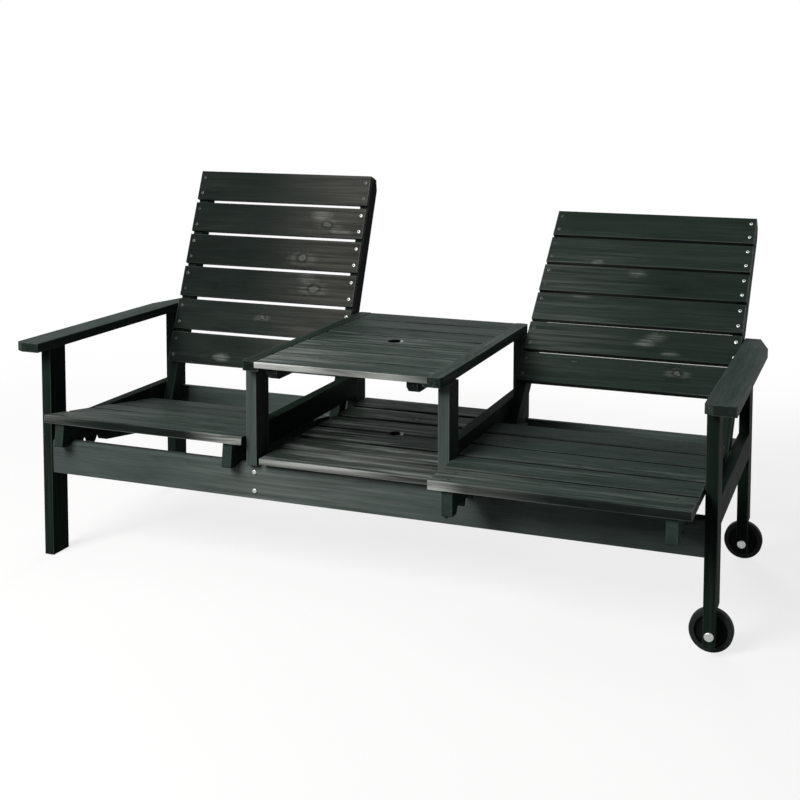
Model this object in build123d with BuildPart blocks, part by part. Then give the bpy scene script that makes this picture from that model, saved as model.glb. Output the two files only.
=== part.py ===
from build123d import *
from math import acos, atan2, cos, hypot, radians, sin, sqrt
import os

# Garden sofa for two with a table between the seats. A timber frame carries two
# seats whose backs recline: each back turns on bolts near the top of its rear leg
# and post, each seat hangs on the foot of its back, and a comb cut in the seat
# rails drops over the front apron and holds the angle that was picked.
# +X is the sitter's left, -Y the front, +Z up. The floor is at Z 0.

os.makedirs("parts", exist_ok=True)

# Boards
board = 28                # thickness of legs, posts, aprons and rails
board_width = 65          # width of legs, posts and rails
slat_thick = 15           # slats of the table, the shelf and the backs
slat_width = 94
cap_thick = 24            # armrests and table edge boards
sawn_edge = 1.5           # rounding along sawn boards
slat_edge = 3             # rounding along the shown edges of the slats

# Frame
frame_width = 1780        # over the end legs
frame_depth = 662         # front of the front legs to rear of the rear legs
leg_height = 559
bay_clear = 481           # between the posts under the table
apron_height = 90
apron_base = 225
rear_rise = 5             # rear apron above the front one
apron_inset = 5           # behind the face of the legs
apron_round = 9           # rounding of the apron's top edges
side_rail_drop = 208      # top of a side rail below the top of the legs
bay_rail_drop = 144       # top of a bay rail below the top of the legs
front_proud = 16          # front posts in front of the apron
rear_proud = 0            # rear posts behind the rear apron
post_foot = 236           # lower end of the tongue behind the apron
armrest_width = 71
armrest_front = 50        # overhang in front of the legs
armrest_length = 757
armrest_rear_clip = (30, 118)
armrest_front_clip = (21, 12)

# Table and shelf between the seats
table_front = 48          # overhang in front of the legs
table_rear = 6            # overhang behind the legs
edge_over_post = 20.5     # edge board lying on a post
edge_shown = 34.5         # edge board beside the slats
table_rise = 4            # posts above the legs
table_drop = 1            # slats lie this far below the edge boards
table_count = 7
table_gap = 9.7           # between the table slats
slat_end_gap = 0.5        # between a table slat and an edge board
ledge_width = 12
edge_corner = 10          # rounding of the edge boards' outer corners
batten_width = 28
batten_height = 28
batten_from_end = 42.5    # middle of a batten from the ends of the slats
batten_inset = 13         # ends of the battens behind the table's edge
shelf_top = 337
shelf_inset = 29          # edges of the shelf inside those of the table
shelf_end_gap = 11.5      # between a shelf slat and a post
shelf_count = 6
shelf_gap = 18.8          # between the shelf slats
parasol_radius = 20

# Backs
side_gap = 3              # between the moving parts and the frame, filled by a washer
stile_depth = 44
back_pivot_inset = 20     # pivot in front of the rear face of the rear legs
back_pivot_drop = 24      # pivot below the top of the legs
back_top = 468            # top of the back above the pivot
back_pitch = 103.6
back_count = 6
stile_foot = 30           # stile below the seat hinge
stile_clip = (16, 30)     # bevel at the rear of the stile's top
hinge_drop = 308.6        # pivot to seat hinge, along the stile
upright_angle = 20.5      # lean of the left back, whose seat is in the first notch

# Seats
rail_thick = 26
rail_gap = 2              # between stile and rail, filled by a washer
seat_thick = 21           # slats of the seats
seat_rise = 62            # hinge to the top of the slats
seat_nose = 46            # front edge of the seat ahead of the first notch
seat_pitch = 104.5
seat_count = 5
rail_setback = 10         # rail ends behind the front edge
rail_tail = 28            # rail behind the hinge
notch_drop = 4.5          # bottoms of the notches below the hinge
tooth_depth = 16
tooth_pitch = 57
notch_width = 35
notch_count = 3
tooth_taper = 8           # each flank leans in by this much
tooth_round = 4.5
shift_count = 2           # the right seat is this many notches further forward
notch_gap = 0.6           # between tooth and apron
seat_lift = 1.6           # between notch bottom and apron

# Wheels
wheel_radius = 50
wheel_width = 22
tyre_depth = 12
tyre_round = 4
rim_recess = 8
axle_boss = 15
wheel_tongue = 28         # leg in front of the wheel
wheel_gap = 2             # washer between leg and wheel
wheel_clear = 4           # room above the wheel
wheel_leg_base = 22

# Fasteners
fit = 0.03                # radial room around a fastener
running = 0.06            # radial room around a pivot
dowel_radius = 4
dowel_length = 50
dowel_room = 1
dowel_cover = 9           # wood left beyond a dowel in a leg or cap
cap_dowels = (-20, -3)    # from the middle of a leg, clear of the pivot
post_dowels = (7, 24)     # from the inner face of a post
screw_radius = 2
screw_length = 34
screw_head = 4
screw_inset = 22          # from the edge of a slat
screw_cover = 5           # wood left beyond a screw from below
bolt_radius = 3
bolt_head = (6.5, 4)
bolt_spread = 48
bolt_nut = (5.5, 5)
pivot_radius = 5
pivot_bite = 20
pivot_head = (9, 5)
hinge_radius = 4
hinge_head = (9, 2)
hinge_nut = (7, 6)
washer_radius = 11
axle_radius = 5
axle_head = (11, 5)
axle_nut = (8.5, 7)
head_round = 0.7          # share of a bolt head's height that is rounded
bolt_tail = 2             # thread beyond a nut
slack = 0.1               # end play of washers and nuts

# Linkage, measured from the front face of the front legs. The seat hinge lies on a
# circle about the back's pivot, and the middle of the notch over the middle of the
# apron. The upright back sets the reach of the first notch, and the notch that the
# right seat uses then sets the lean of the reclined back.
pivot_y = frame_depth - back_pivot_inset
pivot_z = leg_height - back_pivot_drop
apron_top = apron_base + apron_height
apron_mid = apron_inset + board / 2
rest_z = apron_top + seat_lift
upright = radians(upright_angle)
upright_y = pivot_y - hinge_drop * sin(upright)
upright_z = pivot_z - hinge_drop * cos(upright)
left_grip = sqrt((upright_y - apron_mid)**2 + (rest_z - upright_z)**2 - notch_drop**2)
hook_reach = left_grip + notch_gap + board / 2
seat_reach = hook_reach + seat_nose
right_grip = hook_reach - notch_width - shift_count * tooth_pitch + notch_gap + board / 2
reach = hypot(pivot_y - apron_mid, pivot_z - rest_z)
reach_angle = atan2(pivot_y - apron_mid, pivot_z - rest_z)
recline = {}
tilt = {}
hinge = {}
for side, grip in (("left", left_grip), ("right", right_grip)):
    grip_radius = hypot(grip, notch_drop)
    spread = acos((hinge_drop**2 + reach**2 - grip_radius**2) / (2 * hinge_drop * reach))
    recline[side] = reach_angle - spread
    hinge_y = pivot_y - hinge_drop * sin(recline[side])
    hinge_z = pivot_z - hinge_drop * cos(recline[side])
    tilt[side] = atan2(rest_z - hinge_z, hinge_y - apron_mid) + atan2(notch_drop, grip)
    hinge[side] = (hinge_y, hinge_z)

# The origin is on the floor, midway between the foremost and rearmost points
seat_fore = min(
    hinge[s][0] - seat_reach * cos(tilt[s]) + rise * sin(tilt[s])
    for s in ("left", "right") for rise in (seat_rise - seat_thick, seat_rise)
)
back_aft = max(
    pivot_y + up * sin(recline[s]) + aft * cos(recline[s])
    for s in ("left", "right")
    for up, aft in (
        (back_top - stile_clip[1], stile_depth / 2),
        (back_top, stile_depth / 2 - stile_clip[0]),
    )
)
fy = -(seat_fore + back_aft) / 2

# Places in the frame
side_rail_base = leg_height - side_rail_drop - board_width
bay_rail_base = leg_height - bay_rail_drop - board_width
leg_x = (frame_width - board) / 2
leg_face = frame_width / 2 - board
post_x = (bay_clear + board) / 2
post_face = bay_clear / 2 + board
front_leg_y = fy + board_width / 2
rear_leg_y = fy + frame_depth - board_width / 2
post_top = leg_height + table_rise
table_top = post_top + cap_thick
slat_base = table_top - table_drop - slat_thick
table_depth = frame_depth + table_front + table_rear
table_width = bay_clear + 2 * edge_over_post
table_slats_clear = table_width - 2 * edge_shown
batten_spread = table_slats_clear - 2 * batten_from_end
table_y = fy - table_front + table_depth / 2
table_slat_width = (table_depth - (table_count - 1) * table_gap) / table_count
table_pitch = table_slat_width + table_gap
shelf_depth = table_depth - 2 * shelf_inset
shelf_length = bay_clear - 2 * shelf_end_gap
shelf_slat_width = (shelf_depth - (shelf_count - 1) * shelf_gap) / shelf_count
shelf_pitch = shelf_slat_width + shelf_gap
shelf_base = shelf_top - slat_thick
front_post_rear = apron_inset - front_proud + board_width
rear_post_front = frame_depth - apron_inset + rear_proud - board_width
bay_y = fy + (front_post_rear + rear_post_front) / 2
bay_length = rear_post_front - front_post_rear
rail_length = frame_depth - 2 * board_width
seat_x = (leg_face + post_face) / 2
seat_half = (leg_face - post_face) / 2
slat_length = 2 * (seat_half - side_gap)
stile_offset = seat_half - side_gap - board / 2
rail_offset = stile_offset - board / 2 - rail_gap - rail_thick / 2
wheel_z = wheel_radius
base_up = (Align.CENTER, Align.CENTER, Align.MIN)
top_down = (Align.CENTER, Align.CENTER, Align.MAX)

# Dowel places: across X from apron to leg, along Y from rail to leg or post, and
# up from leg or post into the board on top of it
leg_bite = board - dowel_cover
cap_bite = cap_thick - dowel_cover
aprons = ((fy + apron_mid, apron_base), (fy + frame_depth - apron_mid, apron_base + rear_rise))
x_dowels = [
    (sx * (leg_face - dowel_length / 2 + leg_bite), y, base + apron_height / 2 + dz)
    for sx in (-1, 1) for y, base in aprons for dz in (-apron_height / 4, apron_height / 4)
]
y_dowels = [
    (sx * leg_x, fy + y, side_rail_base + board_width / 2 + dz)
    for sx in (-1, 1)
    for y in (board_width, frame_depth - board_width)
    for dz in (-board_width / 4, board_width / 4)
] + [
    (sx * post_x, fy + y, bay_rail_base + board_width / 2 + dz)
    for sx in (-1, 1)
    for y in (front_post_rear, rear_post_front)
    for dz in (-board_width / 4, board_width / 4)
]
z_dowels = [
    (sx * leg_x, y + dy, leg_height + cap_bite - dowel_length / 2)
    for sx in (-1, 1) for y in (front_leg_y, rear_leg_y) for dy in cap_dowels
] + [
    (sx * post_x, fy + y + out * dy, post_top + cap_bite - dowel_length / 2)
    for sx in (-1, 1) for y, out in ((front_post_rear, -1), (rear_post_front, 1))
    for dy in post_dowels
]
x_dowel_spots = [Location(p, (0, 90, 0)) for p in x_dowels]
y_dowel_spots = [Location(p, (90, 0, 0)) for p in y_dowels]
z_dowel_spots = [Location(p) for p in z_dowels]
dowel_hole = (dowel_radius + fit, dowel_length + 2 * dowel_room)

# Pivot places: one bolt at each end of each seat bay, its head on the stile's inner face
pivots = []
spacers = []
for sx in (-1, 1):
    for ex in (-1, 1):
        stile_face = sx * seat_x + ex * (stile_offset - board / 2)
        frame_face = sx * seat_x + ex * seat_half
        pivots.append(Plane((stile_face, fy + pivot_y, pivot_z), x_dir=(0, 1, 0), z_dir=(-ex, 0, 0)))
        spacers.append(Plane((frame_face, fy + pivot_y, pivot_z), x_dir=(0, 1, 0), z_dir=(-ex, 0, 0)))
pivot_length = board + side_gap + pivot_bite

# Axle places: the head on the front face of each wheeled leg
axles = [
    Plane((leg_x, y - board_width / 2, wheel_z), x_dir=(1, 0, 0), z_dir=(0, -1, 0))
    for y in (front_leg_y, rear_leg_y)
]
axle_length = wheel_tongue + wheel_gap + wheel_width + slack + axle_nut[1] + bolt_tail

# Legs. Those at the right end stand on wheels, in a notch behind a tongue
for side, sx in (("left", -1), ("right", 1)):
    for end, leg_y in (("front", front_leg_y), ("rear", rear_leg_y)):
        wheeled = side == "right"
        leg_base = wheel_leg_base if wheeled else 0
        with BuildPart() as leg:
            with Locations((sx * leg_x, leg_y, leg_base)):
                Box(board, board_width, leg_height - leg_base, align=base_up)
            fillet(leg.edges().filter_by(Axis.Z), sawn_edge)
            if wheeled:
                notch_top = wheel_z + wheel_radius + wheel_clear
                with Locations((sx * leg_x, leg_y - board_width / 2 + wheel_tongue, 0)):
                    Box(
                        2 * board,
                        board_width,
                        notch_top,
                        align=(Align.CENTER, Align.MIN, Align.MIN),
                        mode=Mode.SUBTRACT,
                    )
                with Locations(*axles):
                    Cylinder(axle_radius + fit, wheel_tongue, align=top_down, mode=Mode.SUBTRACT)
            with Locations(*x_dowel_spots, *y_dowel_spots, *z_dowel_spots):
                Cylinder(*dowel_hole, mode=Mode.SUBTRACT)
            with Locations(*pivots):
                Cylinder(pivot_radius + fit, pivot_length + dowel_room, align=top_down, mode=Mode.SUBTRACT)
        leg.part.label = f"{side}_{end}_leg"
        export_step(leg.part, f"parts/{side}_{end}_leg.step")

# Aprons, front and rear, with rounded top edges that the combs drop over
frame_bolts_at = []
for end, (apron_y, base), out in (("front", aprons[0], -1), ("rear", aprons[1], 1)):
    with BuildPart() as apron:
        with Locations((0, apron_y, base)):
            Box(2 * leg_face, board, apron_height, align=base_up)
        fillet(apron.edges().filter_by(Axis.X).group_by(Axis.Z)[-1], apron_round)
        fillet(apron.edges().filter_by(Axis.X).group_by(Axis.Z)[0], sawn_edge)
        with Locations(*x_dowel_spots):
            Cylinder(*dowel_hole, mode=Mode.SUBTRACT)
        bolt_spots = [
            Plane(
                (sx * post_x, apron_y + out * board / 2, base + apron_height / 2 + dz),
                x_dir=(1, 0, 0),
                z_dir=(0, out, 0),
            )
            for sx in (-1, 1) for dz in (-bolt_spread / 2, bolt_spread / 2)
        ]
        with Locations(*bolt_spots):
            Cylinder(bolt_radius + fit, board, align=top_down, mode=Mode.SUBTRACT)
    frame_bolts_at.extend(bolt_spots)
    apron.part.label = f"{end}_apron"
    export_step(apron.part, f"parts/{end}_apron.step")

# Posts beside the table, shouldered over the aprons with a tongue on the inside
for side, sx in (("left", -1), ("right", 1)):
    for end, proud, inward, shoulder in (
        ("front", front_proud, 1, apron_top),
        ("rear", rear_proud, -1, apron_top + rear_rise),
    ):
        apron_face = fy + (apron_inset if end == "front" else frame_depth - apron_inset)
        outer_y = apron_face - inward * proud
        tongue_y = apron_face + inward * board
        inner_y = outer_y + inward * board_width
        with BuildPart() as post:
            with BuildSketch(Plane.YZ.offset(sx * post_x - board / 2)) as post_side:
                with BuildLine():
                    Polyline(
                        (outer_y, shoulder),
                        (outer_y, post_top),
                        (inner_y, post_top),
                        (inner_y, post_foot),
                        (tongue_y, post_foot),
                        (tongue_y, shoulder),
                        close=True,
                    )
                make_face()
            extrude(amount=board)
            with Locations(*y_dowel_spots, *z_dowel_spots):
                Cylinder(*dowel_hole, mode=Mode.SUBTRACT)
            with Locations(*pivots):
                Cylinder(pivot_radius + fit, pivot_length + dowel_room, align=top_down, mode=Mode.SUBTRACT)
            with Locations(*frame_bolts_at):
                Cylinder(bolt_radius + fit, board_width, align=top_down, mode=Mode.SUBTRACT)
        post.part.label = f"{side}_{end}_post"
        export_step(post.part, f"parts/{side}_{end}_post.step")

# Side rails between the end legs, and bay rails between the posts
for side, sx in (("left", -1), ("right", 1)):
    for kind, (rail_x, rail_y), rail_base, length in (
        ("side", (leg_x, fy + frame_depth / 2), side_rail_base, rail_length),
        ("bay", (post_x, bay_y), bay_rail_base, bay_length),
    ):
        with BuildPart() as rail:
            with Locations((sx * rail_x, rail_y, rail_base)):
                Box(board, length, board_width, align=base_up)
            fillet(rail.edges().filter_by(Axis.Y), sawn_edge)
            with Locations(*y_dowel_spots):
                Cylinder(*dowel_hole, mode=Mode.SUBTRACT)
        rail.part.label = f"{side}_{kind}_rail"
        export_step(rail.part, f"parts/{side}_{kind}_rail.step")

# Armrests, flush with the inner faces of the legs, with clipped corners
clip_x, clip_y = armrest_front_clip
for side, sx in (("left", -1), ("right", 1)):
    outer_x = sx * (leg_face + armrest_width)
    inner_x = sx * leg_face
    low_x = min(outer_x, inner_x)
    high_x = max(outer_x, inner_x)
    front_y = fy - armrest_front
    rear_y = front_y + armrest_length
    rear_corners = [
        (outer_x, rear_y - armrest_rear_clip[1]),
        (outer_x - sx * armrest_rear_clip[0], rear_y),
        (inner_x, rear_y),
    ]
    with BuildPart() as armrest:
        with BuildSketch(Plane.XY.offset(leg_height)):
            with BuildLine():
                Polyline(
                    (low_x, front_y + clip_y),
                    (low_x + clip_x, front_y),
                    (high_x, front_y),
                    *(rear_corners if sx > 0 else rear_corners[::-1]),
                    close=True,
                )
            make_face()
        extrude(amount=cap_thick)
        fillet(armrest.faces().sort_by(Axis.Z)[-1].edges(), sawn_edge)
        with Locations(*z_dowel_spots):
            Cylinder(*dowel_hole, mode=Mode.SUBTRACT)
    armrest.part.label = f"{side}_armrest"
    export_step(armrest.part, f"parts/{side}_armrest.step")

# Table edge boards on the posts, with a ledge under the ends of the slats
edge_width = edge_shown + ledge_width
for side, sx in (("left", -1), ("right", 1)):
    edge_x = sx * (table_width / 2 - edge_width / 2)
    with BuildPart() as edge_board:
        with Locations((edge_x, table_y, post_top)):
            Box(edge_width, table_depth, cap_thick, align=base_up)
        outer_corners = edge_board.edges().filter_by(Axis.Z).sort_by(Axis.X)
        fillet(outer_corners[-2:] if sx > 0 else outer_corners[:2], edge_corner)
        with Locations((sx * (table_slats_clear / 2 - ledge_width / 2), table_y, slat_base)):
            Box(ledge_width, table_depth, cap_thick, align=base_up, mode=Mode.SUBTRACT)
        with Locations(*z_dowel_spots):
            Cylinder(*dowel_hole, mode=Mode.SUBTRACT)
    edge_board.part.label = f"{side}_table_edge"
    export_step(edge_board.part, f"parts/{side}_table_edge.step")

# Table slats. The middle one has the hole for the parasol's pole
table_ys = [table_y + (i - (table_count - 1) / 2) * table_pitch for i in range(table_count)]
parasol_y = table_ys[table_count // 2]
batten_screws = [
    Plane((sx * batten_spread / 2, y, slat_base - batten_height), x_dir=(1, 0, 0), z_dir=(0, 0, -1))
    for sx in (-1, 1) for y in table_ys
]
batten_screw_length = batten_height + slat_thick - screw_cover
for name, ys in (
    ("table_slats", [y for y in table_ys if y != parasol_y]),
    ("table_parasol_slat", [parasol_y]),
):
    with BuildPart() as table_slats:
        with Locations(*[(0, y, slat_base) for y in ys]):
            Box(table_slats_clear - 2 * slat_end_gap, table_slat_width, slat_thick, align=base_up)
        fillet(table_slats.edges().filter_by(Axis.X), sawn_edge)
        if name == "table_parasol_slat":
            with Locations((0, parasol_y, slat_base)):
                Cylinder(parasol_radius, slat_thick, align=base_up, mode=Mode.SUBTRACT)
        with Locations(*batten_screws):
            Cylinder(screw_radius + fit, batten_screw_length + dowel_room, align=top_down, mode=Mode.SUBTRACT)
    table_slats.part.label = name
    export_step(table_slats.part, f"parts/{name}.step")

# Battens that tie the table slats from below, their lower corners clipped
batten_front = table_y - table_depth / 2 + batten_inset
batten_rear = table_y + table_depth / 2 - batten_inset
batten_clip = batten_height / 2
with BuildPart() as battens:
    for sx in (-1, 1):
        with BuildSketch(Plane.YZ.offset(sx * batten_spread / 2 - batten_width / 2)) as batten_side:
            with BuildLine():
                Polyline(
                    (batten_front, slat_base),
                    (batten_front, slat_base - batten_clip),
                    (batten_front + batten_clip, slat_base - batten_height),
                    (batten_rear - batten_clip, slat_base - batten_height),
                    (batten_rear, slat_base - batten_clip),
                    (batten_rear, slat_base),
                    close=True,
                )
            make_face()
        extrude(amount=batten_width)
    with Locations(*batten_screws):
        CounterSinkHole(screw_radius + fit, screw_head + fit, batten_height, 90)
battens.part.label = "table_battens"
export_step(battens.part, "parts/table_battens.step")

# Shelf slats. The two in the middle share the hole for the pole
shelf_ys = [table_y + (i - (shelf_count - 1) / 2) * shelf_pitch for i in range(shelf_count)]
middle_ys = [y for y in shelf_ys if abs(y - table_y) < shelf_pitch]
bearer_x = bay_clear / 2 - board / 2
bearer_length = frame_depth - 2 * (apron_inset + board)
bearer_front = fy + apron_inset + board
shelf_screw_ys = [bearer_front + screw_inset, *shelf_ys[1:-1], bearer_front + bearer_length - screw_inset]
shelf_screws = [
    Plane((sx * bearer_x, y, shelf_top), x_dir=(1, 0, 0), z_dir=(0, 0, 1))
    for sx in (-1, 1) for y in shelf_screw_ys
]
for name, ys in (
    ("shelf_slats", [y for y in shelf_ys if y not in middle_ys]),
    ("shelf_parasol_slats", middle_ys),
):
    with BuildPart() as shelf_slats:
        with Locations(*[(0, y, shelf_base) for y in ys]):
            Box(shelf_length, shelf_slat_width, slat_thick, align=base_up)
        fillet(shelf_slats.edges().filter_by(Axis.X).group_by(Axis.Z)[-1], sawn_edge)
        if name == "shelf_parasol_slats":
            with Locations((0, table_y, shelf_base)):
                Cylinder(parasol_radius, slat_thick, align=base_up, mode=Mode.SUBTRACT)
        own_screws = [p for p in shelf_screws if min(abs(p.origin.Y - y) for y in ys) < shelf_slat_width / 2]
        with Locations(*own_screws):
            CounterSinkHole(screw_radius + fit, screw_head + fit, slat_thick, 90)
    shelf_slats.part.label = name
    export_step(shelf_slats.part, f"parts/{name}.step")

# Bearers under the shelf, between the aprons and against the posts
with BuildPart() as bearers:
    with Locations(*[(sx * bearer_x, fy + frame_depth / 2, shelf_base) for sx in (-1, 1)]):
        Box(board, bearer_length, board_width, align=top_down)
    with Locations(*shelf_screws):
        Cylinder(screw_radius + fit, screw_length + dowel_room, align=top_down, mode=Mode.SUBTRACT)
bearers.part.label = "shelf_bearers"
export_step(bearers.part, "parts/shelf_bearers.step")

# Fasteners of the frame
with BuildPart() as dowels:
    with Locations(*x_dowel_spots, *y_dowel_spots, *z_dowel_spots):
        Cylinder(dowel_radius, dowel_length)
dowels.part.label = "frame_dowels"
export_step(dowels.part, "parts/frame_dowels.step")

with BuildPart() as frame_bolts:
    with Locations(*frame_bolts_at):
        Cylinder(*bolt_head, align=base_up)
    head_edges = frame_bolts.edges().filter_by(GeomType.CIRCLE).group_by(SortBy.RADIUS)[-1].sort_by(Axis.Y)
    fillet(head_edges[:4] + head_edges[-4:], head_round * bolt_head[1])
    for spots, proud in ((frame_bolts_at[:4], front_proud), (frame_bolts_at[4:], rear_proud)):
        grip = board_width - proud
        with Locations(*spots):
            Cylinder(bolt_radius, grip + bolt_nut[1] + bolt_tail, align=top_down)
        with BuildSketch(*[p.offset(-grip) for p in spots]):
            RegularPolygon(bolt_nut[0], 6)
        extrude(amount=-bolt_nut[1])
frame_bolts.part.label = "frame_bolts"
export_step(frame_bolts.part, "parts/frame_bolts.step")

with BuildPart() as under_screws:
    with Locations(*batten_screws):
        Cylinder(screw_radius, batten_screw_length, align=top_down)
        Cone(screw_radius, screw_head, screw_head - screw_radius, align=top_down)
under_screws.part.label = "batten_screws"
export_step(under_screws.part, "parts/batten_screws.step")

with BuildPart() as top_screws:
    with Locations(*shelf_screws):
        Cylinder(screw_radius, screw_length, align=top_down)
        Cone(screw_radius, screw_head, screw_head - screw_radius, align=top_down)
top_screws.part.label = "shelf_screws"
export_step(top_screws.part, "parts/shelf_screws.step")

with BuildPart() as pivot_bolts:
    with Locations(*[p.offset(slack) for p in pivots]):
        Cylinder(*pivot_head, align=base_up)
        Cylinder(pivot_radius, pivot_length, align=top_down)
    with BuildSketch(*spacers):
        Circle(washer_radius)
        Circle(pivot_radius + fit, mode=Mode.SUBTRACT)
    extrude(amount=side_gap - slack)
pivot_bolts.part.label = "back_pivot_bolts"
export_step(pivot_bolts.part, "parts/back_pivot_bolts.step")

with BuildPart() as axle_bolts:
    with Locations(*axles):
        Cylinder(*axle_head, align=base_up)
        Cylinder(axle_radius, axle_length, align=top_down)
    head_edges = axle_bolts.edges().filter_by(GeomType.CIRCLE).group_by(SortBy.RADIUS)[-1].sort_by(Axis.Y)
    fillet(head_edges[::2], head_round * axle_head[1])
    with BuildSketch(*[p.offset(-wheel_tongue) for p in axles]):
        Circle(washer_radius)
        Circle(axle_radius + fit, mode=Mode.SUBTRACT)
    extrude(amount=slack - wheel_gap)
    with BuildSketch(*[p.offset(-wheel_tongue - wheel_gap - wheel_width - slack) for p in axles]):
        RegularPolygon(axle_nut[0], 6)
    extrude(amount=-axle_nut[1])
axle_bolts.part.label = "axle_bolts"
export_step(axle_bolts.part, "parts/axle_bolts.step")

# Wheels: a tyre on a recessed disc with a boss for the axle
for end, axle in (("front", axles[0]), ("rear", axles[1])):
    wheel_front = axle.offset(-wheel_tongue - wheel_gap)
    rim_radius = wheel_radius - tyre_depth
    with BuildPart() as tyre:
        with BuildSketch(wheel_front):
            Circle(wheel_radius)
            Circle(rim_radius, mode=Mode.SUBTRACT)
        extrude(amount=-wheel_width)
        fillet(tyre.edges().filter_by(GeomType.CIRCLE).group_by(SortBy.RADIUS)[-1], tyre_round)
    tyre.part.label = f"{end}_wheel_tyre"
    export_step(tyre.part, f"parts/{end}_wheel_tyre.step")
    with BuildPart() as hub:
        with BuildSketch(wheel_front.offset(-rim_recess)):
            Circle(rim_radius)
        extrude(amount=2 * rim_recess - wheel_width)
        with BuildSketch(wheel_front):
            Circle(axle_boss)
        extrude(amount=-wheel_width)
        with BuildSketch(wheel_front):
            Circle(axle_radius + running)
        extrude(amount=-wheel_width, mode=Mode.SUBTRACT)
    hub.part.label = f"{end}_wheel_hub"
    export_step(hub.part, f"parts/{end}_wheel_hub.step")

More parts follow.
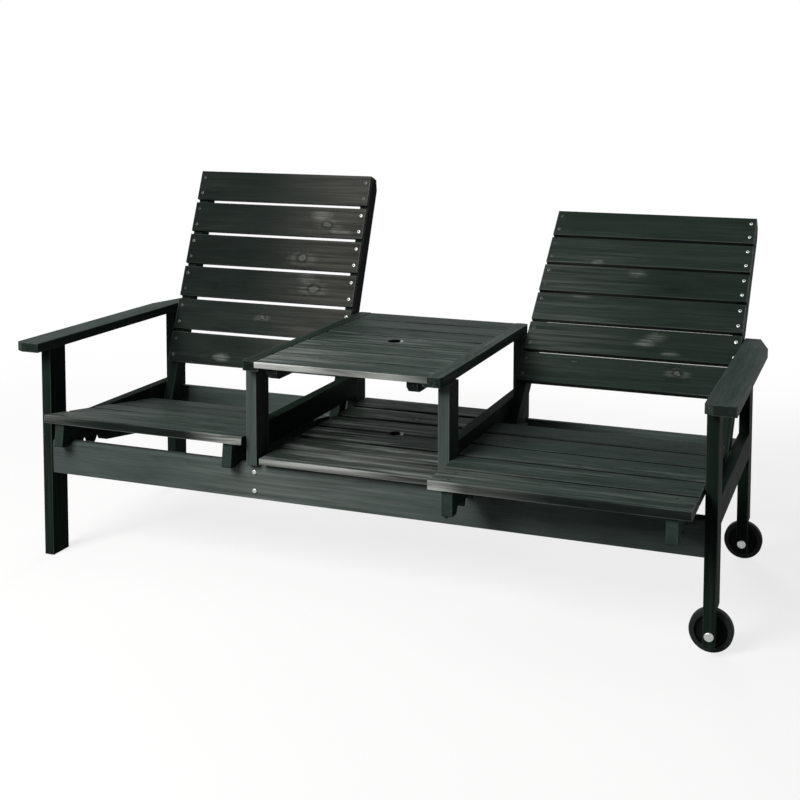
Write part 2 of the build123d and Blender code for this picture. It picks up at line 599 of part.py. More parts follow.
# Backs and seats, one of each per side
for side, sx in (("left", -1), ("right", 1)):
    lean = recline[side]
    tip = tilt[side]
    hinge_y, hinge_z = hinge[side]
    bay_x = sx * seat_x

    # The back's own plane: X along the slats, Y up the stiles, Z out of the front
    back_plane = Plane((bay_x, fy + pivot_y, pivot_z), x_dir=(1, 0, 0), z_dir=(0, -cos(lean), sin(lean)))
    outward = Axis(back_plane.origin, back_plane.z_dir)
    back_front = stile_depth / 2 + slat_thick
    slat_ups = [back_top - slat_width / 2 - i * back_pitch for i in range(back_count)]
    back_screws = [
        (ex * stile_offset, up + dy, back_front)
        for ex in (-1, 1)
        for up in slat_ups
        for dy in (-slat_width / 2 + screw_inset, slat_width / 2 - screw_inset)
    ]
    for name, ups in (("top", slat_ups[:1]), ("middle", slat_ups[1:-1]), ("bottom", slat_ups[-1:])):
        with BuildPart(back_plane) as back_slats:
            with Locations(*[(0, up, stile_depth / 2) for up in ups]):
                Box(slat_length, slat_width, slat_thick, align=base_up)
            fillet(back_slats.edges().filter_by(Axis.X).group_by(outward)[-1], slat_edge)
            with Locations(*[p for p in back_screws if min(abs(p[1] - up) for up in ups) < slat_width / 2]):
                CounterSinkHole(screw_radius + fit, screw_head + fit, slat_thick, 90)
        plural = "s" if len(ups) > 1 else ""
        back_slats.part.label = f"{side}_back_{name}_slat{plural}"
        export_step(back_slats.part, f"parts/{side}_back_{name}_slat{plural}.step")

    with BuildPart(back_plane) as back_fixings:
        with Locations(*back_screws):
            Cylinder(screw_radius, screw_length, align=top_down)
            Cone(screw_radius, screw_head, screw_head - screw_radius, align=top_down)
    back_fixings.part.label = f"{side}_back_screws"
    export_step(back_fixings.part, f"parts/{side}_back_screws.step")

    for end, ex in (("outer", sx), ("inner", -sx)):
        stile_x = bay_x + ex * stile_offset
        stile_plane = Plane(
            (stile_x + board / 2, fy + pivot_y, pivot_z),
            x_dir=(0, -cos(lean), sin(lean)),
            z_dir=(-1, 0, 0),
        )
        with BuildPart(back_plane) as stile:
            with BuildSketch(stile_plane) as stile_side:
                with BuildLine():
                    Polyline(
                        (-stile_depth / 2, -hinge_drop - stile_foot),
                        (stile_depth / 2, -hinge_drop - stile_foot),
                        (stile_depth / 2, back_top),
                        (stile_clip[0] - stile_depth / 2, back_top),
                        (-stile_depth / 2, back_top - stile_clip[1]),
                        close=True,
                    )
                make_face()
                fillet(stile_side.vertices().group_by(Axis.Y)[0], stile_depth / 4)
                Circle(pivot_radius + running, mode=Mode.SUBTRACT)
                with Locations((0, -hinge_drop)):
                    Circle(hinge_radius + fit, mode=Mode.SUBTRACT)
            extrude(amount=board)
            with Locations(*back_screws):
                Cylinder(screw_radius + fit, screw_length + dowel_room, align=top_down, mode=Mode.SUBTRACT)
        stile.part.label = f"{side}_back_{end}_stile"
        export_step(stile.part, f"parts/{side}_back_{end}_stile.step")

    # Bolts on which the seat hangs: head outside the stile, nut inside the rail
    hinges = [
        Plane(
            (bay_x + ex * (stile_offset + board / 2), fy + hinge_y, hinge_z),
            x_dir=(0, 1, 0),
            z_dir=(ex, 0, 0),
        )
        for ex in (-1, 1)
    ]
    hinge_stack = board + rail_gap + rail_thick
    with BuildPart() as hinge_bolts:
        with Locations(*hinges):
            Cylinder(*hinge_head, align=base_up)
            Cylinder(hinge_radius, hinge_stack + slack + hinge_nut[1] + bolt_tail, align=top_down)
        with BuildSketch(*[p.offset(-board) for p in hinges]):
            Circle(washer_radius)
            Circle(hinge_radius + fit, mode=Mode.SUBTRACT)
        extrude(amount=slack - rail_gap)
        with BuildSketch(*[p.offset(-hinge_stack - slack) for p in hinges]):
            RegularPolygon(hinge_nut[0], 6)
        extrude(amount=-hinge_nut[1])
    hinge_bolts.part.label = f"{side}_seat_hinge_bolts"
    export_step(hinge_bolts.part, f"parts/{side}_seat_hinge_bolts.step")

    # The seat's own plane: X along the slats, Y to the rear, Z out of the top
    seat_plane = Plane((bay_x, fy + hinge_y, hinge_z), x_dir=(1, 0, 0), z_dir=(0, sin(tip), cos(tip)))
    upward = Axis(seat_plane.origin, seat_plane.z_dir)
    slat_reaches = [seat_reach - slat_width / 2 - i * seat_pitch for i in range(seat_count)]
    seat_screws = [
        (ex * rail_offset, dy - reach_i, seat_rise)
        for ex in (-1, 1) for reach_i in slat_reaches
        for dy in (screw_inset - slat_width / 2, slat_width / 2 - screw_inset)
    ]
    with BuildPart(seat_plane) as seat_slats:
        with Locations(*[(0, -reach_i, seat_rise) for reach_i in slat_reaches]):
            Box(slat_length, slat_width, seat_thick, align=top_down)
        fillet(seat_slats.edges().filter_by(Axis.X).group_by(upward)[-1], slat_edge)
        with Locations(*seat_screws):
            CounterSinkHole(screw_radius + fit, screw_head + fit, seat_thick, 90)
    seat_slats.part.label = f"{side}_seat_slats"
    export_step(seat_slats.part, f"parts/{side}_seat_slats.step")

    with BuildPart(seat_plane) as seat_fixings:
        with Locations(*seat_screws):
            Cylinder(screw_radius, screw_length, align=top_down)
            Cone(screw_radius, screw_head, screw_head - screw_radius, align=top_down)
    seat_fixings.part.label = f"{side}_seat_screws"
    export_step(seat_fixings.part, f"parts/{side}_seat_screws.step")

    # Seat rails with the comb on their lower edge, listed from the front to the rear
    rail_end = seat_reach - rail_setback
    rail_top = seat_rise - seat_thick
    tooth_tip = -notch_drop - tooth_depth
    comb = []
    for i in range(notch_count):
        notch_front = hook_reach - i * tooth_pitch
        notch_rear = notch_front - notch_width
        comb += [
            (notch_front + tooth_taper, tooth_tip),
            (notch_front, -notch_drop),
            (notch_rear, -notch_drop),
            (notch_rear - tooth_taper, tooth_tip),
        ]
    for end, ex in (("outer", sx), ("inner", -sx)):
        rail_plane = Plane(
            (bay_x + ex * rail_offset + rail_thick / 2, fy + hinge_y, hinge_z),
            x_dir=(0, -cos(tip), sin(tip)),
            z_dir=(-1, 0, 0),
        )
        with BuildPart(seat_plane) as seat_rail:
            with BuildSketch(rail_plane) as rail_side:
                with BuildLine():
                    Polyline(
                        (rail_end, rail_top),
                        (rail_end, tooth_tip),
                        *comb,
                        (-rail_tail, tooth_tip),
                        (-rail_tail, rail_top),
                        close=True,
                    )
                make_face()
                fillet(rail_side.vertices().group_by(Axis.Y)[0], tooth_round)
                Circle(hinge_radius + running, mode=Mode.SUBTRACT)
            extrude(amount=rail_thick)
            with Locations(*seat_screws):
                Cylinder(screw_radius + fit, screw_length + dowel_room, align=top_down, mode=Mode.SUBTRACT)
        seat_rail.part.label = f"{side}_seat_{end}_rail"
        export_step(seat_rail.part, f"parts/{side}_seat_{end}_rail.step")
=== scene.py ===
# %% [markdown]
# # A two-seater garden sofa with a middle table
# The sofa is built of stained softwood boards, held by bolts, dowels and screws. The boards
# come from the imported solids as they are, so this lesson is mostly about their finish: a thin
# dark green-black stain that lets the grain, the knots and the worn edges show. The solids are
# loaded first, and their size is kept so that it can be compared with the finished object.

# %% Load the solids
import math
from types import SimpleNamespace

import bpy
import numpy as np
from mathutils import Matrix, Vector


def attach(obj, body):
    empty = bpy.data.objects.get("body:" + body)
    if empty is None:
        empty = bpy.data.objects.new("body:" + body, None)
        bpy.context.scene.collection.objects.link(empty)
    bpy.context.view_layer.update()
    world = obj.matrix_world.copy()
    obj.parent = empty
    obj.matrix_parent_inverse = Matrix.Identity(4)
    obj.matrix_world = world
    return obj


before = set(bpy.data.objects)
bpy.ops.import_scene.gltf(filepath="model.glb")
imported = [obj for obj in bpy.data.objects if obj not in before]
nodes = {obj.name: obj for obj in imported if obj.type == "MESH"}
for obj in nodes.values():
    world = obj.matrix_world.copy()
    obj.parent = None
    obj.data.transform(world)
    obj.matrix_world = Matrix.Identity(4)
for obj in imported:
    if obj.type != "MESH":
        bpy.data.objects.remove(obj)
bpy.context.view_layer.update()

# %% [markdown]
# Colours are written as the hex values one would pick on a screen. Blender's shaders count in
# linear light, so one function turns the hex value to linear. A second small function adds a
# node with its settings and its links, which keeps the materials readable.

# %% Colour and node helpers
def linear(hex_colour):
    """sRGB to linear: below 0.04045 divide by 12.92, above it ((c + 0.055) / 1.055) ** 2.4."""
    c = np.array([int(hex_colour[i:i + 2], 16) for i in (1, 3, 5)]) / 255
    c = np.where(c <= 0.04045, c / 12.92, ((c + 0.055) / 1.055) ** 2.4)
    return (*c, 1.0)


def add(tree, kind, inputs=None, **settings):
    """Add one node, set its settings, then fill its inputs with values or link them to sockets."""
    node = tree.nodes.new("ShaderNode" + kind)
    for key, value in settings.items():
        setattr(node, key, value)
    for key, value in (inputs or {}).items():
        if isinstance(value, bpy.types.Node):
            value = value.outputs[0]
        if isinstance(value, bpy.types.NodeSocket):
            tree.links.new(value, node.inputs[key])
        else:
            node.inputs[key].default_value = value
    return node


def new_material(name):
    """An empty node material with its output node."""
    material = bpy.data.materials.new(name)
    material.use_nodes = True
    material.node_tree.nodes.clear()
    return material, material.node_tree, add(material.node_tree, "OutputMaterial")


def dress(material, *names):
    """Put one material on these nodes."""
    for n in names:
        nodes[n].data.materials.clear()
        nodes[n].data.materials.append(material)


print("mid grey in linear light:", [round(v, 3) for v in linear("#808080")[:3]])

# %% [markdown]
# Every board has a long way, a width and a thickness. The pattern of the wood needs to know
# where a point lies in its board, so each group of boards is measured from the solids. Backs
# and seats lean. Their points are turned upright first, by the angle at which they were built,
# and then a slat is a plain box again.

# %% Measure boards
mm = 1e3  # in a metre
back_lean = {"left": math.radians(20.5), "right": math.radians(46.29)}
seat_tilt = {"left": math.radians(8.31), "right": math.radians(-0.09)}


def turned_points(names, turn=0.0):
    """Points (mm) of these nodes turned about X: y' = y cos t - z sin t, z' = y sin t + z cos t."""
    parts = []
    for n in names:
        flat = np.empty(3 * len(nodes[n].data.vertices), np.float32)
        nodes[n].data.vertices.foreach_get("co", flat)
        parts.append(flat.reshape(-1, 3) * mm)
    c, s = math.cos(turn), math.sin(turn)
    return np.concatenate(parts) @ np.array([[1, 0, 0], [0, c, s], [0, -s, c]])


for end in ("left", "right"):
    back = np.ptp(turned_points([f"{end}_back_top_slat"], back_lean[end]), axis=0)
    seat = np.ptp(turned_points([f"{end}_seat_slats"], seat_tilt[end]), axis=0)
    print(end, "back slat is", np.round(back, 1), "mm, seat is", np.round(seat, 1), "mm")

# %% [markdown]
# ## Stained pine
# Flat-sawn pine shows growth rings cut lengthwise: lines that run along the board, close
# together at one side and opening into long arches near the middle, and bending round knots.
# A picture could be wrapped on, but it would not meet at the edges. Here the wood is a solid
# pattern, so faces, edges and end grain agree. The next cells build it up from what one can
# say about each point, and the first thing to say is where the point lies in its board.

# %% Place in the board
lone_pitch = 2000.0              # mm, wider than any board, so a single board isn't divided
log_length = 5000.0              # mm of trunk from which each board takes its own stretch
# spread board numbers and seeds over the random values
tag_step, seed_step, tag_start = 13.7, 3.1, 0.5


def board_place(tree, pieces, along, across, turn, boards, width, seed):
    """Coordinates (mm) of a point along, across and through its board, and the board's draws.

    Boards of one group lie at an even pitch: the distance from the first one's start divided
    by the pitch is the board's number, and the remainder is the place within it.
    """
    through = (set("XYZ") - {along, across}).pop()
    points = turned_points(pieces, turn)[:, ["XYZ".index(k) for k in (along, across, through)]]
    low, high = points.min(0), points.max(0)
    width = width or high[1] - low[1]
    pitch = (high[1] - low[1] - width) / (boards - 1) if boards > 1 else lone_pitch
    spare = (pitch - width) / 2
    place = add(tree, "TexCoord").outputs["Object"]
    upright = add(tree, "Mapping", {"Vector": place, "Rotation": (turn, 0, 0), "Scale": (mm,) * 3})
    xyz = add(tree, "SeparateXYZ", {0: upright})
    run, side, depth = (xyz.outputs[k] for k in (along, across, through))
    from_start = add(tree, "Math", {0: side, 1: low[1] - spare}, operation="SUBTRACT")
    count = add(tree, "Math", {0: from_start, 1: pitch}, operation="DIVIDE")
    number = add(tree, "Math", {0: count}, operation="FLOOR")
    within = add(tree, "Math", {0: from_start, 1: pitch}, operation="FLOORED_MODULO")
    tag = add(tree, "Math", {0: number, 1: tag_step, 2: seed_step * seed + tag_start},
              operation="MULTIPLY_ADD")
    chance = add(tree, "TexWhiteNoise", {"W": tag}, noise_dimensions="1D")
    draws = add(tree, "SeparateColor", {0: chance.outputs["Color"]})
    moved = add(tree, "Math", {0: chance.outputs["Value"], 1: log_length, 2: run},
                operation="MULTIPLY_ADD")
    wood = add(tree, "CombineXYZ", {0: moved, 1: within, 2: depth})
    return SimpleNamespace(low=low, high=high, width=width, pitch=pitch, spare=spare,
                           boards=boards, run=run, side=side, depth=depth, within=within,
                           moved=moved, wood=wood, draws=list(draws.outputs))


print("front apron is", np.round(np.ptp(turned_points(["front_apron"]), axis=0), 1), "mm")

# %% [markdown]
# Fibres, streaks in the stain, blotches where the wood drank more of it and the slow wander of
# the rings are all noise drawn out along the grain. They differ only in size, so one table of
# sizes in millimetres and one loop make them all. The values of a noise crowd round 0.5, and a
# narrow range near it, stretched to the range from 0 to 1, gives patches with soft edges.

# %% Noise along the grain
fibre_width = 2.4    # mm, real fibres are far finer and would not show
streak_width = 9.0   # mm, brush and grain streaks in the stain
top_streak = 22.0    # mm, the same on weathered tops, which are seen at a low angle
streak_length, mark_length = 300.0, 70.0  # mm
mark_share = 1.6     # a dark mark is this many times narrower than a streak
# length and width (mm), detail, distortion
grain_sizes = {"wander": (380.0, 70.0, 3.0, 0.0), "fibre": (80.0, fibre_width, 3.0, 0.0),
               "blotch": (190.0, 40.0, 2.0, 0.0)}


def grain_patterns(tree, board, streak_size, marks):
    """For each pattern a noise of (along / length, across / width, through / width)."""
    sizes = dict(grain_sizes, streak=(streak_length, streak_size, 3.0, 0.4))
    if marks:
        sizes["mark"] = (mark_length, streak_size / mark_share, 2.0, 0.6)
    grain = SimpleNamespace()
    for name, (length, breadth, detail, distortion) in sizes.items():
        drawn_out = add(tree, "Mapping", {"Vector": board.wood,
                                          "Scale": (1 / length, 1 / breadth, 1 / breadth)})
        setattr(grain, name, add(tree, "TexNoise", {"Vector": drawn_out, "Scale": 1.0,
                                                    "Detail": detail, "Distortion": distortion}))
    grain.uneven = add(tree, "MapRange", {"Value": grain.streak, "From Min": 0.36,
                                          "From Max": 0.62, "To Min": 0.15})
    return grain


print("patterns along the grain, mm:", {k: v[:2] for k, v in grain_sizes.items()})

# %% [markdown]
# A branch leaves a knot, a dark rim with a dull core, and the wood beside it is pale and cloudy.
# Most knots may lie anywhere, so a cell pattern with one branch to a cell scatters them. A few
# large ones catch the eye on the backs, and their places are listed.

# %% Knots
knot_spacing = 260.0            # mm between branches
knot_radius = 8.0               # mm
knot_stretch = 1.35             # a flat-sawn knot is longer along the grain
cloud_stretch = 2.3             # and the pale wood beside it runs out further
cloud_fall = 1.5                # pale wood fades this many times faster at a chance knot
warp_size = 24.0                # mm, waves in the outline of a knot
warp_reach = (26.0, 20.0, 0.0)  # mm along, across and through the board
no_knot = 90.0                  # radii, too far off to draw anything
noise_middle = (0.5, 0.5, 0.5)


def knot_distance(tree, board, knots, clouds, clear):
    """Distance to the nearest knot and to the nearest pale cloud, each in radii.

    A point is moved by a noise, which makes outlines uneven, and its place along the board is
    divided by a stretch. The share of cells called clear holds no knot. Known knots and clouds
    are (along, across, radius) in mm, and the nearest of all counts.
    """
    warp = add(tree, "TexNoise", {"Vector": board.wood, "Scale": 1 / warp_size, "Detail": 2.0})
    warp = add(tree, "VectorMath", {0: warp.outputs["Color"], 1: noise_middle},
               operation="SUBTRACT")
    warp = add(tree, "VectorMath", {0: warp, 1: warp_reach}, operation="MULTIPLY")
    flat = add(tree, "CombineXYZ", {0: board.moved, 1: board.within})
    flat = add(tree, "VectorMath", {0: flat, 1: warp}, operation="ADD")
    flat = add(tree, "VectorMath", {0: flat, 1: (1 / knot_stretch, 1, 1)}, operation="MULTIPLY")
    cell = add(tree, "TexVoronoi", {"Vector": flat, "Scale": 1 / knot_spacing},
               voronoi_dimensions="2D")
    cell_draw = add(tree, "SeparateColor", {0: cell.outputs["Color"]})
    without = add(tree, "Math", {0: cell_draw, 1: 1 - clear}, operation="GREATER_THAN")
    knot = add(tree, "Math", {0: cell.outputs["Distance"], 1: knot_spacing / knot_radius},
               operation="MULTIPLY")
    knot = add(tree, "Math", {0: without, 1: no_knot, 2: knot}, operation="MULTIPLY_ADD")
    cloud = add(tree, "Math", {0: knot, 1: cloud_fall}, operation="MULTIPLY")
    nearest = {knot_stretch: knot, cloud_stretch: cloud}
    if knots or clouds:
        warped = add(tree, "CombineXYZ", {0: board.run, 1: board.side})
        warped = add(tree, "VectorMath", {0: warped, 1: warp}, operation="ADD")
        for stretch, spots in ((knot_stretch, knots), (cloud_stretch, (*knots, *clouds))):
            here = add(tree, "VectorMath", {0: warped, 1: (1 / stretch, 1, 1)},
                       operation="MULTIPLY")
            for at_run, at_side, size in spots:
                gap = add(tree, "VectorMath", {0: here, 1: (at_run / stretch, at_side, 0)},
                          operation="DISTANCE")
                gap = add(tree, "Math", {0: gap.outputs["Value"], 1: size}, operation="DIVIDE")
                nearest[stretch] = add(tree, "Math", {0: nearest[stretch], 1: gap},
                                       operation="MINIMUM")
    return nearest[knot_stretch], nearest[cloud_stretch]


print("a chance knot to", round(knot_spacing), "mm, of radius", knot_radius, "mm")

# %% Look of a knot
core_reach = 3.0  # radii over which a knot darkens the wood
knot_rim = ((0.14, 0.05), (0.22, 0.1), (0.3, 0.95), (0.4, 0.45))  # share of that, darkness


def knot_halo(tree, grain, knot, cloud):
    """Share of pale wood: it fades with distance, breaks up in fibres and streaks, and fills
    the heart of the knot."""
    halo = add(tree, "MapRange", {"Value": cloud, "From Min": 0.3, "From Max": 2.0,
                                  "To Min": 0.55, "To Max": 0.0}, interpolation_type="SMOOTHSTEP")
    between = add(tree, "MapRange", {"Value": grain.fibre, "From Min": 0.38, "From Max": 0.62,
                                     "To Min": 0.35})
    halo = add(tree, "Math", {0: halo, 1: between}, operation="MULTIPLY")
    halo = add(tree, "Math", {0: halo, 1: grain.uneven}, operation="MULTIPLY")
    heart = add(tree, "MapRange", {"Value": knot, "From Min": 0.45, "From Max": 0.8,
                                   "To Min": 0.28, "To Max": 0.0})
    return add(tree, "Math", {0: halo, 1: heart}, operation="MAXIMUM")


def knot_core(tree, knot):
    """Darkness of a knot by its distance: a dull middle, a pale ring and then the dark rim."""
    outward = add(tree, "Math", {0: knot, 1: core_reach}, operation="DIVIDE")
    core = add(tree, "ValToRGB", {0: outward})
    stops = core.color_ramp.elements
    stops[0].position, stops[1].position = 0.08, 0.55
    stops[0].color, stops[1].color = (0.3, 0.3, 0.3, 1), (0, 0, 0, 1)
    for where, level in knot_rim:
        stops.new(where).color = (level, level, level, 1)
    return core.outputs[0]


darkest = max(knot_rim, key=lambda stop: stop[1])[0]
print("its dark rim lies", round(darkest * core_reach, 1), "radii from its middle")

# %% [markdown]
# The distance of a point from the pith of its tree gives the ring it lies in. Lines drawn by
# hand could look the same on one face, but this way the arches on a face run on into the lines
# on its edge. Near a knot the distance grows, so the rings go round it.

# %% Growth rings
ring_width = 5.0     # mm between growth rings, about twice as wide as in slow-grown pine, to show
pith_depth, pith_spread = 14.0, 30.0  # mm from a board's face to its pith, and how that varies
wander_reach = 46.0  # mm by which the rings drift along a board
knot_bulge = 14.0    # mm by which the rings go round a knot
early_wood = 0.05    # darkness where a ring begins and ends
late_wood = ((0.45, 0.3), (0.78, 1.0), (0.9, 0.7))  # place in the ring, darkness


def growth_rings(tree, board, grain, knot):
    """Darkness of the late wood, 0 to 1, and the bulge of the rings at a knot (mm).

    ring = (distance from the pith + slow wander + bulge) / ring width, and its fraction is the
    place in the ring. The distance is the root of across squared plus through squared.
    """
    pith = add(tree, "Math", {0: board.draws[0], 1: board.width, 2: board.spare},
               operation="MULTIPLY_ADD")
    off = add(tree, "Math", {0: board.within, 1: pith}, operation="SUBTRACT")
    under = add(tree, "Math", {0: board.draws[1], 1: pith_spread, 2: pith_depth - board.low[2]},
                operation="MULTIPLY_ADD")
    down = add(tree, "Math", {0: board.depth, 1: under}, operation="ADD")
    square = add(tree, "Math", {0: off, 1: off}, operation="MULTIPLY")
    square = add(tree, "Math", {0: down, 1: down, 2: square}, operation="MULTIPLY_ADD")
    radius = add(tree, "Math", {0: square}, operation="SQRT")
    radius = add(tree, "Math", {0: grain.wander, 1: wander_reach, 2: radius},
                 operation="MULTIPLY_ADD")
    bulge = add(tree, "MapRange", {"Value": knot, "From Min": 0.4, "From Max": 4.0,
                                   "To Min": knot_bulge, "To Max": 0.0},
                interpolation_type="SMOOTHERSTEP")
    radius = add(tree, "Math", {0: radius, 1: bulge}, operation="ADD")
    turns = add(tree, "Math", {0: radius, 1: ring_width}, operation="DIVIDE")
    ring = add(tree, "Math", {0: turns}, operation="FRACT")
    late = add(tree, "ValToRGB", {0: ring})
    stops = late.color_ramp.elements
    stops[0].position, stops[1].position = 0.0, 1.0
    stops[0].color = stops[1].color = (early_wood, early_wood, early_wood, 1)
    for where, level in late_wood:
        stops.new(where).color = (level, level, level, 1)
    return late.outputs[0], bulge


print("rings every", ring_width, "mm, round a knot by", knot_bulge, "mm")

# %% [markdown]
# The stain was brushed on thin, so the darker late wood shows through it, and it lies unevenly
# in soft streaks and blotches. One number for each point adds these up and mixes a pale with a
# deep colour of the stain. Where the brush left little, a grey streak shows.

# %% Stain
swirl_share, fibre_share, blotch_share, board_share = 0.9, 0.35, 0.9, 0.25
tone_low, tone_high = 0.45, 1.15  # sums that give the pale and the deep colour
fleck_share = 0.6                 # flecks between fibres, against streaks


def stain_tone(tree, board, grain, late, bulge, rings):
    """Depth of the stain, 0 to 1, and the rings as they fade in and out.

    The depth is a weighted sum of faded rings, rings round knots, fibres, blotches and the
    board's own draw, stretched to the range from 0 to 1.
    """
    faded = add(tree, "Math", {0: late, 1: grain.wander}, operation="MULTIPLY")
    tone = add(tree, "Math", {0: faded, 1: 2 * rings}, operation="MULTIPLY")
    swirl = add(tree, "Math", {0: late, 1: bulge}, operation="MULTIPLY")
    for part, share in ((swirl, swirl_share / knot_bulge), (grain.fibre, fibre_share),
                        (grain.blotch, blotch_share), (board.draws[2], board_share)):
        tone = add(tree, "Math", {0: part, 1: share, 2: tone}, operation="MULTIPLY_ADD")
    tone = add(tree, "MapRange", {"Value": tone, "From Min": tone_low,
                                  "From Max": tone_high + rings})
    return tone, faded


def thin_places(tree, grain, streaks):
    """Share of grey where the stain is thin: the stronger of a streak and a fleck."""
    thin = add(tree, "MapRange", {"Value": grain.streak, "From Min": 0.52, "From Max": 0.78,
                                  "To Max": streaks})
    fleck = add(tree, "MapRange", {"Value": grain.fibre, "From Min": 0.6, "From Max": 0.8,
                                   "To Max": fleck_share * streaks})
    return add(tree, "Math", {0: thin, 1: fleck}, operation="MAXIMUM")


print("depth of the stain between sums of", tone_low, "and", tone_high, "and more")

# %% [markdown]
# End grain drinks most stain, so it is nearly black, and the sides of the boards of a group are
# painted dark as well, as painted shade in the gaps between them. Hands wear the arrises pale,
# and this pale line is drawn bright enough to stand in for the highlight on a rounded edge too.
# Weather or use has thinned the stain in some places of a board, and in others painted light or
# painted shade makes it paler or darker. The distances to a board's three pairs of faces tell
# where its ends, sides and arrises are.

# %% Edges
arris_start, arris_width = 0.4, 2.6  # mm of an edge that is worn pale, at first fully, drawn bright enough to stand in for its highlight too
edge_start = 0.3    # mm from a face, where the dark of end grain and of the painted gap shade begins to fade
end_reach = 1.0     # mm by which end grain shows round the corner
gap_shade_depth = 0.8   # darkness of the sides between the boards of a group, painted shade in the gaps


def board_edges(tree, board, grain, end_grain, gap_shade_width, rubbed_and_lit):
    """Share of dark end grain and painted gap shade, and share of the pale arris with its
    highlight.

    A distance to a pair of faces is half the board's size less the distance from its middle.
    An arris is where two of the three are small, so the middle one of the three counts.
    """
    middle, half = (board.low + board.high) / 2, (board.high - board.low) / 2
    place = add(tree, "CombineXYZ", {0: board.run, 1: board.within, 2: board.depth})
    centred = add(tree, "VectorMath", {0: place, 1: (middle[0], board.pitch / 2, middle[2])},
                  operation="SUBTRACT")
    centred = add(tree, "VectorMath", {0: centred}, operation="ABSOLUTE")
    inside = add(tree, "VectorMath", {0: (half[0], board.width / 2, half[2]), 1: centred},
                 operation="SUBTRACT")
    ends, sides, faces = add(tree, "SeparateXYZ", {0: inside}).outputs
    least = add(tree, "Math", {0: sides, 1: faces}, operation="MINIMUM")
    most = add(tree, "Math", {0: sides, 1: faces}, operation="MAXIMUM")
    most = add(tree, "Math", {0: most, 1: ends}, operation="MINIMUM")
    arris = add(tree, "Math", {0: least, 1: most}, operation="MAXIMUM")
    end_grain_and_gap_shade = add(tree, "MapRange", {"Value": ends, "From Min": edge_start, "From Max": end_reach,
                                  "To Min": end_grain, "To Max": 0.0})
    # painted shade on the sides of slats that face the gaps between them
    if board.boards > 1:
        gap_shade = add(tree, "MapRange", {"Value": sides, "From Min": edge_start,
                                       "From Max": gap_shade_width, "To Min": gap_shade_depth,
                                       "To Max": 0.0})
        end_grain_and_gap_shade = add(tree, "Math", {0: end_grain_and_gap_shade, 1: gap_shade}, operation="MAXIMUM")
    # the pale arris: wear, and a painted highlight on the rounded edge
    rub_and_highlight = add(tree, "MapRange", {"Value": arris, "From Min": arris_start, "From Max": arris_width,
                                 "To Min": rubbed_and_lit, "To Max": 0.0}, interpolation_type="SMOOTHSTEP")
    patch = add(tree, "MapRange", {"Value": grain.blotch, "From Min": 0.35, "From Max": 0.65,
                                   "To Min": 0.15})
    return end_grain_and_gap_shade, add(tree, "Math", {0: rub_and_highlight, 1: patch}, operation="MULTIPLY")


print("arrises are rubbed over", arris_width, "mm")

# %% Places of wear, painted light and painted shade
patch_across, patch_along = 0.3, 0.15  # share of such a place that is at full strength


def fading(tree, value, middle, full, reach, strength=1.0):
    """The strength up to the full distance from the middle, and a smooth fall to 0 at reach."""
    away = add(tree, "Math", {0: value, 1: middle}, operation="SUBTRACT")
    away = add(tree, "Math", {0: away}, operation="ABSOLUTE")
    return add(tree, "MapRange", {"Value": away, "From Min": full, "From Max": reach,
                                  "To Min": strength, "To Max": 0.0},
               interpolation_type="SMOOTHSTEP")


def wear_light_and_shade_place(tree, board, grain, at, reach, at_run, half, strength):
    """Share of a place of wear, of painted light and of painted shade alike: a fade across the
    boards, times one along them, uneven.
    """
    across = fading(tree, board.side, at, patch_across * reach, reach, strength)
    along = fading(tree, board.run, at_run, patch_along * half, half)
    share = add(tree, "Math", {0: across, 1: along}, operation="MULTIPLY")
    return add(tree, "Math", {0: share, 1: grain.uneven}, operation="MULTIPLY")


print("worn places fade from", patch_across, "of their reach across the boards")

# %% [markdown]
# The finish is a stack of colours, each with a share between 0 and 1 that says how much of it
# covers what lies below: first the stain, then streaks, knots, end grain and gap shade, wear, and
# painted light. The last is the wall of the parasol hole, which is end grain, black with stain and
# painted shade, and pale with painted light on the side that faces the lamp. One function stacks
# them, so that every board of the sofa gets the same wood.

# %% Colours of the stain
# Planed pine under a thin oil stain: a matt green-black with grey streaks, in which the rings
# and knots still show, with a weak sheen where boards didn't soak the oil up.
sheen, matt_sheen = 0.025, 0.007  # reflection of the film, and of boards that soaked it up
# pale and deep colour of the stain, from boards that took little of it to boards that took most
thin_stain, even_stain = ("#4b5451", "#29322e"), ("#34403b", "#19231e")
full_stain, dark_stain = ("#28332d", "#131b16"), ("#1e2a23", "#0d1511")
back_stain = ("#232b27", "#101613")
bleached_and_lit, thick_stain_and_shade = "#c9ccc6", "#0c110e"          # pale of stain weathered away and of painted light, near-black of thick stain and of painted shade
streak_grey, rubbed_and_highlight_grey = "#858d89", "#7f8884"  # stain brushed thin, and stain worn off an arris, pale enough to stand in for its highlight too
cloud_grey, knot_dark = "#8b8f87", "#171a16"     # pale wood beside a knot, and its rim
mark_dark, end_grain_and_shade_dark = "#141916", "#0b0e0c"      # stain in checks, and dark of end grain and of painted shade between slats
wall_shade_dark, wall_lit = "#040605", "#a4a8a2"      # the wall of a hole: black of end grain and painted shade, and painted light on its lit side
print("light that the full stain gives back:", [round(v, 3) for v in linear(full_stain[0])[:3]])

# %% Wall of a hole
wall_start, wall_end = 0.4, 1.6  # mm beyond the hole's radius
lit_start, lit_end = 0.2, 0.6  # of the radius to the right, where the painted light on the wall begins


